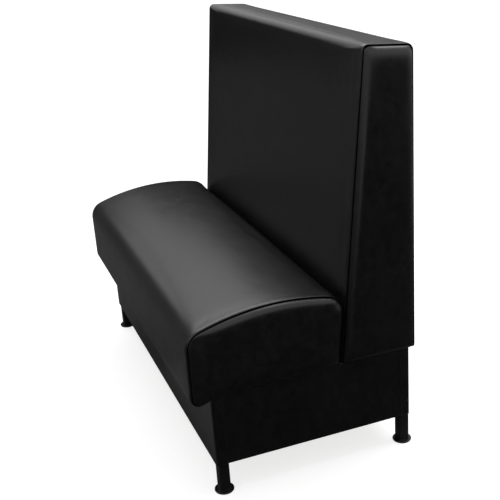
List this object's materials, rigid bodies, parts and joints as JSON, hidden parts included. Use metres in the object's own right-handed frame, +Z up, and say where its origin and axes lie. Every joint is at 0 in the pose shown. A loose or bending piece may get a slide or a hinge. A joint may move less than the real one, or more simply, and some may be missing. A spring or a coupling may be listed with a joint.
{
  "type": "restaurant booth seating",
  "caption": "Free-standing single booth seat with a tall reclined back, a crowned seat cushion, a wrapped base and square legs on levelling glides",
  "frame": {"origin": "on the floor under the middle of the bounding box, with the glides screwed fully in", "axes": "+X along the booth to the right-hand end as seen by someone facing its front, +Y to the rear of the back, +Z up; the seat faces -Y"},
  "size_m": [1.13, 0.604, 1.066],
  "materials": {
    "vinyl": "black upholstery vinyl, fine even grain, satin",
    "foam": "cream polyurethane foam",
    "plywood": "raw birch plywood",
    "timber": "planed softwood",
    "hardboard": "smooth brown hardboard",
    "black_steel": "black powder coat, satin",
    "zinc_steel": "zinc plated",
    "black_plastic": "moulded, matt",
    "nylon": "moulded nylon, matt"
  },
  "bodies": {
    "booth": {"leg_front_left": "black_steel", "leg_insert_front_left": "black_plastic", "leg_front_right": "black_steel", "leg_insert_front_right": "black_plastic", "leg_rear_left": "black_steel", "leg_insert_rear_left": "black_plastic", "leg_rear_right": "black_steel", "leg_insert_rear_right": "black_plastic", "base_rail_front": "black_steel", "base_rail_rear": "black_steel", "base_rail_left": "black_steel", "base_rail_right": "black_steel", "base_panel_front": "plywood", "base_panel_rear": "plywood", "base_panel_left": "plywood", "base_panel_right": "plywood", "base_front_pad": "foam", "seat_foam": "foam", "back_foam": "foam", "back_top_pad": "foam", "base_cover": "vinyl", "seat_cover": "vinyl", "back_cover": "vinyl", "seat_end_left": "vinyl", "seat_end_right": "vinyl", "back_end_left": "vinyl", "back_end_right": "vinyl", "panel_screws": "zinc_steel", "seat_bolts": "zinc_steel", "seat_nuts": "zinc_steel", "back_bolts": "zinc_steel", "back_nuts": "zinc_steel", "seat_deck": "plywood", "back_face_board": "plywood", "seat_nosing": "timber", "back_side_left": "timber", "back_side_right": "timber", "back_rail_top": "timber", "back_rail_middle": "timber", "back_rail_bottom": "timber", "back_stud": "timber", "back_rear_board": "hardboard"},
    "stem_front_left": {"glide_stem_front_left": "zinc_steel"},
    "foot_front_left": {"glide_flange_front_left": "black_steel", "glide_pad_front_left": "nylon"},
    "stem_front_right": {"glide_stem_front_right": "zinc_steel"},
    "foot_front_right": {"glide_flange_front_right": "black_steel", "glide_pad_front_right": "nylon"},
    "stem_rear_left": {"glide_stem_rear_left": "zinc_steel"},
    "foot_rear_left": {"glide_flange_rear_left": "black_steel", "glide_pad_rear_left": "nylon"},
    "stem_rear_right": {"glide_stem_rear_right": "zinc_steel"},
    "foot_rear_right": {"glide_flange_rear_right": "black_steel", "glide_pad_rear_right": "nylon"}
  },
  "joints": [
    {"name": "glide_extend_front_left", "type": "slide", "parent": "booth", "child": "stem_front_left", "axis": [0, 0, -1], "range_m": [0, 0.02]},
    {"name": "glide_turn_front_left", "type": "hinge", "parent": "stem_front_left", "child": "foot_front_left", "pos_m": [-0.5332, -0.2307, 0.0035], "axis": [0, 0, 1], "continuous": true},
    {"name": "glide_extend_front_right", "type": "slide", "parent": "booth", "child": "stem_front_right", "axis": [0, 0, -1], "range_m": [0, 0.02]},
    {"name": "glide_turn_front_right", "type": "hinge", "parent": "stem_front_right", "child": "foot_front_right", "pos_m": [0.5332, -0.2307, 0.0035], "axis": [0, 0, 1], "continuous": true},
    {"name": "glide_extend_rear_left", "type": "slide", "parent": "booth", "child": "stem_rear_left", "axis": [0, 0, -1], "range_m": [0, 0.02]},
    {"name": "glide_turn_rear_left", "type": "hinge", "parent": "stem_rear_left", "child": "foot_rear_left", "pos_m": [-0.5332, 0.277, 0.0035], "axis": [0, 0, 1], "continuous": true},
    {"name": "glide_extend_rear_right", "type": "slide", "parent": "booth", "child": "stem_rear_right", "axis": [0, 0, -1], "range_m": [0, 0.02]},
    {"name": "glide_turn_rear_right", "type": "hinge", "parent": "stem_rear_right", "child": "foot_rear_right", "pos_m": [0.5332, 0.277, 0.0035], "axis": [0, 0, 1], "continuous": true}
  ],
  "couplings": [
    {"joint": "glide_turn_front_left", "follows": "glide_extend_front_left", "rad_per_m": -4188.8},
    {"joint": "glide_turn_front_right", "follows": "glide_extend_front_right", "rad_per_m": -4188.8},
    {"joint": "glide_turn_rear_left", "follows": "glide_extend_rear_left", "rad_per_m": -4188.8},
    {"joint": "glide_turn_rear_right", "follows": "glide_extend_rear_right", "rad_per_m": -4188.8}
  ]
}
